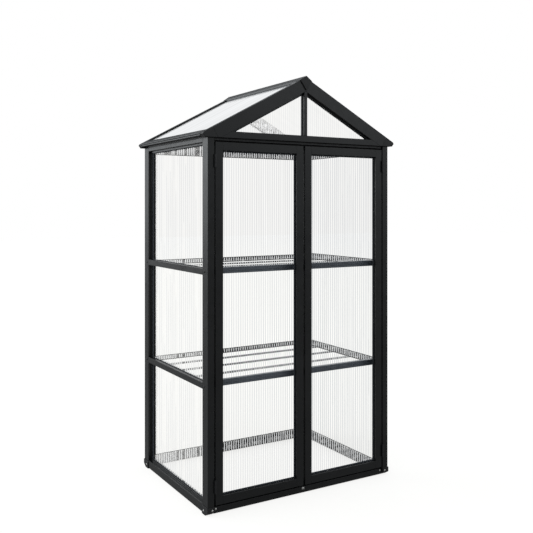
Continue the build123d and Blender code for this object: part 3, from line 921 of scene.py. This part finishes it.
class GREENHOUSE_OT_fit_catch(bpy.types.Operator):
    """Fits the little catch on the sill, under the gap between the doors"""

    bl_idname = "greenhouse.fit_catch"
    bl_label = "Fit the catch"

    def execute(self, context):
        fixings = context.scene.greenhouse_fixings
        steel = bpy.data.materials.get("plated_steel") or plated_steel(fixings.steel_colour)
        low, high = solid_boxes("front_sill")[0]
        size = Vector(fixings.catch_size)
        border = size.z / 5.0
        dish = size.y / 3.0
        edge = size.y / 5.0
        knob_seat = size.y / 6.0
        bm = bmesh.new()
        bmesh.ops.create_cube(bm, size=1.0, matrix=Matrix.Diagonal((*size, 1.0)))
        front = [face for face in bm.faces if face.normal.y < -FACING]
        bmesh.ops.inset_region(bm, faces=front, thickness=border, use_even_offset=True)
        bmesh.ops.translate(bm, vec=Vector((0.0, dish, 0.0)), verts=front[0].verts)
        round_edges(bm, edge, SMALL_EDGE_STEPS)
        top = min(high.z, SILL_TOP_LIMIT)
        place = Vector((fixings.catch_shift, low.y - size.y / 2.0, top - fixings.catch_drop))
        bmesh.ops.translate(bm, vec=place, verts=bm.verts)
        knob = screws_at([(place - Vector((0.0, knob_seat, 0.0)), Vector((0.0, -1.0, 0.0)))], fixings)
        new_piece(joined([bm, knob]), "sill_catch", "frame", [steel])
        return {"FINISHED"}


class GREENHOUSE_OT_set_stage(bpy.types.Operator):
    """Puts down the floor, the studio light and the camera"""

    bl_idname = "greenhouse.set_stage"
    bl_label = "Set the stage"

    def execute(self, context):
        stage = context.scene.greenhouse_stage
        self.floor(stage)
        self.world(stage)
        self.camera(stage)
        scene = context.scene
        scene.view_settings.view_transform = "Standard"
        scene.cycles.max_bounces = MOST_BOUNCES
        scene.cycles.transmission_bounces = MOST_BOUNCES
        scene.cycles.transparent_max_bounces = CLEAR_BOUNCES
        scene.cycles.min_transparent_bounces = CLEAR_BOUNCES
        scene.cycles.min_light_bounces = LEAST_BOUNCES
        return {"FINISHED"}

    def floor(self, stage):
        """A painted floor that the camera sees as white, apart from the shadow on it."""
        bm = bmesh.new()
        bmesh.ops.create_grid(bm, x_segments=1, y_segments=1, size=stage.floor_size / 2.0)
        mesh = bpy.data.meshes.new("studio_floor")
        bm.to_mesh(mesh)
        bm.free()
        floor = bpy.data.objects.new("studio_floor", mesh)
        bpy.context.scene.collection.objects.link(floor)
        material, tree, shader = new_material("floor_paint")
        shader.inputs["Base Color"].default_value = (*stage.floor_colour, 1.0)
        shader.inputs["Roughness"].default_value = FLOOR_ROUGHNESS
        shader.inputs["Specular IOR Level"].default_value = 0.0
        place = add_node(tree, "ShaderNodeTexCoord")
        distance = add_node(tree, "ShaderNodeVectorMath", operation="LENGTH")
        tree.links.new(place.outputs["Object"], distance.inputs[0])
        near = stage.floor_reach * FLOOR_NEAR_SHARE
        far = spread(tree, distance.outputs["Value"], near, stage.floor_reach, 0.0, 1.0)
        tint = two_colours(tree, far, stage.floor_near, stage.floor_far)
        tree.links.new(tint, shader.inputs["Emission Color"])
        glow = combined(tree, "MULTIPLY", shows_white(tree, stage.metal_floor), stage.floor_glow)
        tree.links.new(glow, shader.inputs["Emission Strength"])
        material.cycles.emission_sampling = "NONE"
        mesh.materials.append(material)

    def world(self, stage):
        """A studio that is bright behind and overhead and dim in front, on a white background."""
        world = bpy.data.worlds.new("studio")
        world.use_nodes = True
        bpy.context.scene.world = world
        tree = world.node_tree
        background = tree.nodes["Background"]
        place = add_node(tree, "ShaderNodeTexCoord")
        split = add_node(tree, "ShaderNodeSeparateXYZ")
        tree.links.new(place.outputs["Generated"], split.inputs["Vector"])
        wall = spread(tree, split.outputs["Y"], *WALL_SPAN, stage.front_light, stage.back_light)
        ceiling = spread(tree, split.outputs["Z"], *CEILING_SPAN, 0.0, stage.top_light)
        studio = combined(tree, "MAXIMUM", wall, ceiling)
        for lamp, strength in ((SIDE_LIGHT, stage.side_light), (RIM_LIGHT, stage.rim_light),
                               (GABLE_LIGHT, stage.gable_light), (FLAG, -stage.flag)):
            studio = combined(tree, "ADD", studio, self.softbox(tree, place, lamp, strength))
        white = shows_white(tree, 0.0)
        tree.links.new(two_colours(tree, white, stage.light_colour, WHITE), background.inputs["Color"])
        strength = add_node(tree, "ShaderNodeMix")
        strength.inputs["B"].default_value = 1.0
        tree.links.new(white, strength.inputs["Factor"])
        tree.links.new(studio, strength.inputs["A"])
        tree.links.new(strength.outputs["Result"], background.inputs["Strength"])

    def softbox(self, tree, place, lamp, strength):
        """A round soft light, or a dark screen where its strength is less than 0."""
        way, edge, core = lamp
        ahead = add_node(tree, "ShaderNodeVectorMath", operation="DOT_PRODUCT")
        ahead.inputs[1].default_value = way.normalized()
        tree.links.new(place.outputs["Generated"], ahead.inputs[0])
        return spread(tree, ahead.outputs["Value"], edge, core, 0.0, strength)

    def camera(self, stage):
        """The camera, level, at the photograph's angle."""
        lens = bpy.data.cameras.new("camera")
        lens.lens = stage.lens
        lens.shift_y = stage.rise
        camera = bpy.data.objects.new("camera", lens)
        camera.location = stage.camera_place
        camera.rotation_euler = (math.pi / 2.0, 0.0, -stage.camera_turn)
        bpy.context.scene.collection.objects.link(camera)
        bpy.context.scene.camera = camera


class GREENHOUSE_PT_build(bpy.types.Panel):
    """Steps of the finish"""

    bl_idname = "GREENHOUSE_PT_build"
    bl_label = "Cabinet greenhouse"
    bl_space_type = "VIEW_3D"
    bl_region_type = "UI"
    bl_category = "Greenhouse"

    def draw(self, context):
        for name in GROUPS:
            group = getattr(context.scene, name)
            box = self.layout.box()
            for key in group.__annotations__:
                box.prop(group, key)
        for step in STEPS:
            self.layout.operator(step.bl_idname)


GROUPS = {"greenhouse_coat": GreenhouseCoat, "greenhouse_sheet": GreenhouseSheet,
          "greenhouse_fixings": GreenhouseFixings, "greenhouse_stage": GreenhouseStage}
STEPS = (GREENHOUSE_OT_coat_frame, GREENHOUSE_OT_coat_shelves, GREENHOUSE_OT_glaze, GREENHOUSE_OT_fit_seals,
         GREENHOUSE_OT_fit_screws, GREENHOUSE_OT_fit_catch, GREENHOUSE_OT_set_stage)


def register():
    for group in GROUPS.values():
        bpy.utils.register_class(group)
    for name, group in GROUPS.items():
        setattr(bpy.types.Scene, name, PointerProperty(type=group))
    for step in STEPS:
        bpy.utils.register_class(step)
    bpy.utils.register_class(GREENHOUSE_PT_build)


def unregister():
    bpy.utils.unregister_class(GREENHOUSE_PT_build)
    for step in reversed(STEPS):
        bpy.utils.unregister_class(step)
    for name, group in GROUPS.items():
        delattr(bpy.types.Scene, name)
        bpy.utils.unregister_class(group)


def main():
    register()
    bpy.ops.greenhouse.coat_frame()
    bpy.ops.greenhouse.coat_shelves()
    bpy.ops.greenhouse.glaze()
    bpy.ops.greenhouse.fit_seals()
    bpy.ops.greenhouse.fit_screws()
    bpy.ops.greenhouse.fit_catch()
    bpy.ops.greenhouse.set_stage()


if __name__ == "__main__":
    main()
